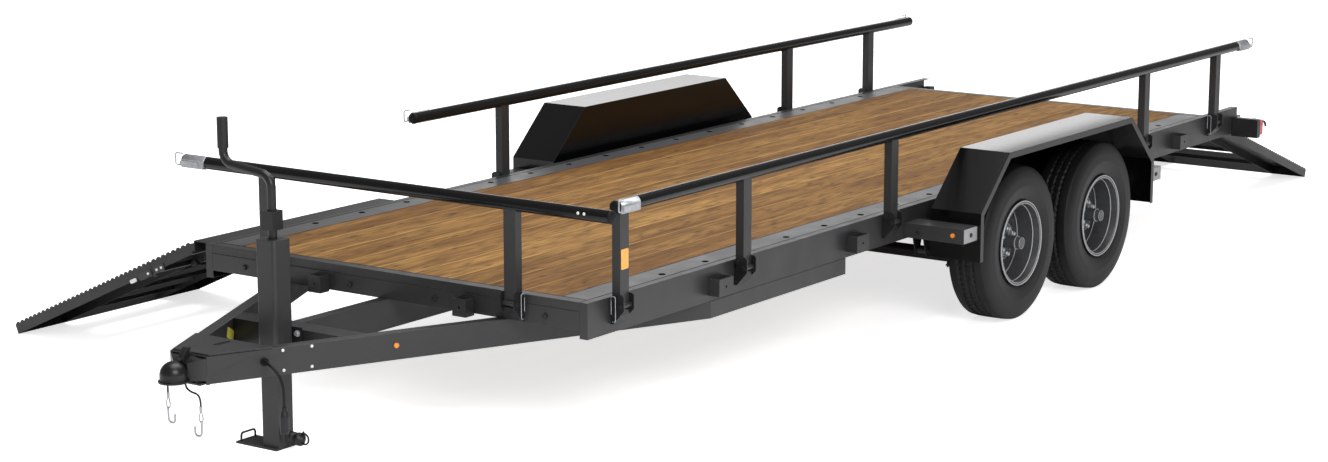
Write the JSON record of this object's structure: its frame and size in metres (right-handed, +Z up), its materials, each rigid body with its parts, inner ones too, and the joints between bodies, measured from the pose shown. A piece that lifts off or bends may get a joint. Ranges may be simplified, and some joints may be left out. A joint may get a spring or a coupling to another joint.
{
  "type": "plant trailer",
  "caption": "Tandem-axle flatbed plant trailer with drop-leg jack, ball coupler, hinged tube rails, folding side ramp and rear ramp, timber deck and leaf springs.",
  "frame": {"origin": "centre of the ball in the coupler's socket", "axes": "+X forward along the drawbar, +Y to the left, +Z up"},
  "size_m": [8.3178, 3.516, 1.235],
  "materials": {
    "frame_paint": "satin powder coat, charcoal",
    "strip_paint": "satin powder coat, charcoal, lit from above",
    "black_paint": "satin black paint",
    "jack_paint": "satin powder coat, charcoal",
    "coupler_paint": "satin charcoal paint",
    "fender_paint": "satin powder coat, charcoal",
    "ramp_paint": "satin black powder coat",
    "rail_gloss": "gloss black",
    "wheel_paint": "satin grey paint",
    "timber": "treated softwood planks",
    "spring_steel": "painted spring steel",
    "zinc": "bright zinc plate",
    "tyre_rubber": "black tyre rubber",
    "rubber_black": "black rubber",
    "lead_jacket": "black cable jacket",
    "cable_jacket": "black coated wire rope",
    "plug_plastic": "grey moulded plug",
    "amber_lens": "amber lens",
    "red_lens": "red lens"
  },
  "bodies": {
    "frame": {"side_beam_left": "frame_paint", "side_beam_right": "frame_paint", "front_beam": "frame_paint", "rear_beam": "frame_paint", "cross_members": "frame_paint", "deck_planks": "timber", "edge_strips": "strip_paint", "tongue_left": "frame_paint", "tongue_right": "frame_paint", "tongue_plates": "frame_paint", "jack_mount": "black_paint", "centre_beam": "frame_paint", "coupler": "coupler_paint", "coupler_latch": "black_paint", "jack_outer": "jack_paint", "rail_brackets": "black_paint", "rail_hairpins": "zinc", "stake_pockets": "frame_paint", "axles": "black_paint", "leaf_springs": "spring_steel", "spring_hangers": "black_paint", "spring_fittings": "spring_steel", "fender_left": "fender_paint", "fender_right": "fender_paint", "fender_arms": "frame_paint", "marker_lamps": "amber_lens", "tail_lamp_boxes": "black_paint", "tail_lamp_lenses": "red_lens", "side_sill": "ramp_paint", "rear_hinge": "black_paint", "wiring_grommet": "rubber_black", "wiring_lead": "lead_jacket", "wiring_plug": "plug_plastic", "safety_cable_left": "cable_jacket", "safety_cable_right": "cable_jacket", "safety_hooks": "zinc"},
    "front_left_wheel": {"tyre_front_left": "tyre_rubber", "wheel_front_left": "wheel_paint"},
    "front_right_wheel": {"tyre_front_right": "tyre_rubber", "wheel_front_right": "wheel_paint"},
    "rear_left_wheel": {"tyre_rear_left": "tyre_rubber", "wheel_rear_left": "wheel_paint"},
    "rear_right_wheel": {"tyre_rear_right": "tyre_rubber", "wheel_rear_right": "wheel_paint"},
    "drop_leg": {"jack_leg": "jack_paint", "jack_fittings": "black_paint"},
    "crank": {"jack_crank": "black_paint"},
    "left_rail": {"rail_left_tube": "rail_gloss", "rail_left_posts": "frame_paint", "rail_left_latches": "zinc"},
    "right_rail": {"rail_right_tube": "rail_gloss", "rail_right_posts": "frame_paint", "rail_right_latches": "zinc"},
    "front_rail": {"rail_front_tube": "rail_gloss", "rail_front_posts": "frame_paint", "rail_front_latch": "zinc"},
    "side_ramp": {"side_ramp_upper": "ramp_paint"},
    "side_ramp_end": {"side_ramp_lower": "ramp_paint"},
    "rear_ramp": {"rear_ramp_frame": "ramp_paint", "rear_ramp_treads": "ramp_paint"}
  },
  "joints": [
    {"name": "front_left_wheel_spin", "type": "hinge", "parent": "frame", "child": "front_left_wheel", "pos_m": [-4.037, 1.1875, -0.04], "axis": [0, 1, 0], "continuous": true},
    {"name": "front_right_wheel_spin", "type": "hinge", "parent": "frame", "child": "front_right_wheel", "pos_m": [-4.037, -1.1875, -0.04], "axis": [0, 1, 0], "continuous": true},
    {"name": "rear_left_wheel_spin", "type": "hinge", "parent": "frame", "child": "rear_left_wheel", "pos_m": [-4.836, 1.1875, -0.04], "axis": [0, 1, 0], "continuous": true},
    {"name": "rear_right_wheel_spin", "type": "hinge", "parent": "frame", "child": "rear_right_wheel", "pos_m": [-4.836, -1.1875, -0.04], "axis": [0, 1, 0], "continuous": true},
    {"name": "drop_leg_slide", "type": "slide", "parent": "frame", "child": "drop_leg", "axis": [0, 0, 1], "range_m": [-0.05, 0.25]},
    {"name": "crank_turn", "type": "hinge", "parent": "frame", "child": "crank", "pos_m": [-0.535, 0, 0.41], "axis": [0, 0, 1], "continuous": true},
    {"name": "left_rail_lean", "type": "hinge", "parent": "frame", "child": "left_rail", "pos_m": [-4.075, 1.022, 0.137], "axis": [-1, 0, 0], "range_deg": [0, 40]},
    {"name": "right_rail_lean", "type": "hinge", "parent": "frame", "child": "right_rail", "pos_m": [-4.775, -1.022, 0.137], "axis": [1, 0, 0], "range_deg": [0, 40]},
    {"name": "front_rail_lean", "type": "hinge", "parent": "frame", "child": "front_rail", "pos_m": [-1.131, 0, 0.137], "axis": [0, 1, 0], "range_deg": [0, 95]},
    {"name": "side_ramp_lift", "type": "hinge", "parent": "frame", "child": "side_ramp", "pos_m": [-1.8, -1.085, 0.14], "axis": [-1, 0, 0], "range_deg": [0, 114]},
    {"name": "side_ramp_fold", "type": "hinge", "parent": "side_ramp", "child": "side_ramp_end", "pos_m": [-1.8, -1.34407, -0.01526], "axis": [1, 0, 0], "range_deg": [0, 145]},
    {"name": "rear_ramp_lift", "type": "hinge", "parent": "frame", "child": "rear_ramp", "pos_m": [-6.78, 0, 0.14], "axis": [0, 1, 0], "range_deg": [0, 108.9]}
  ]
}
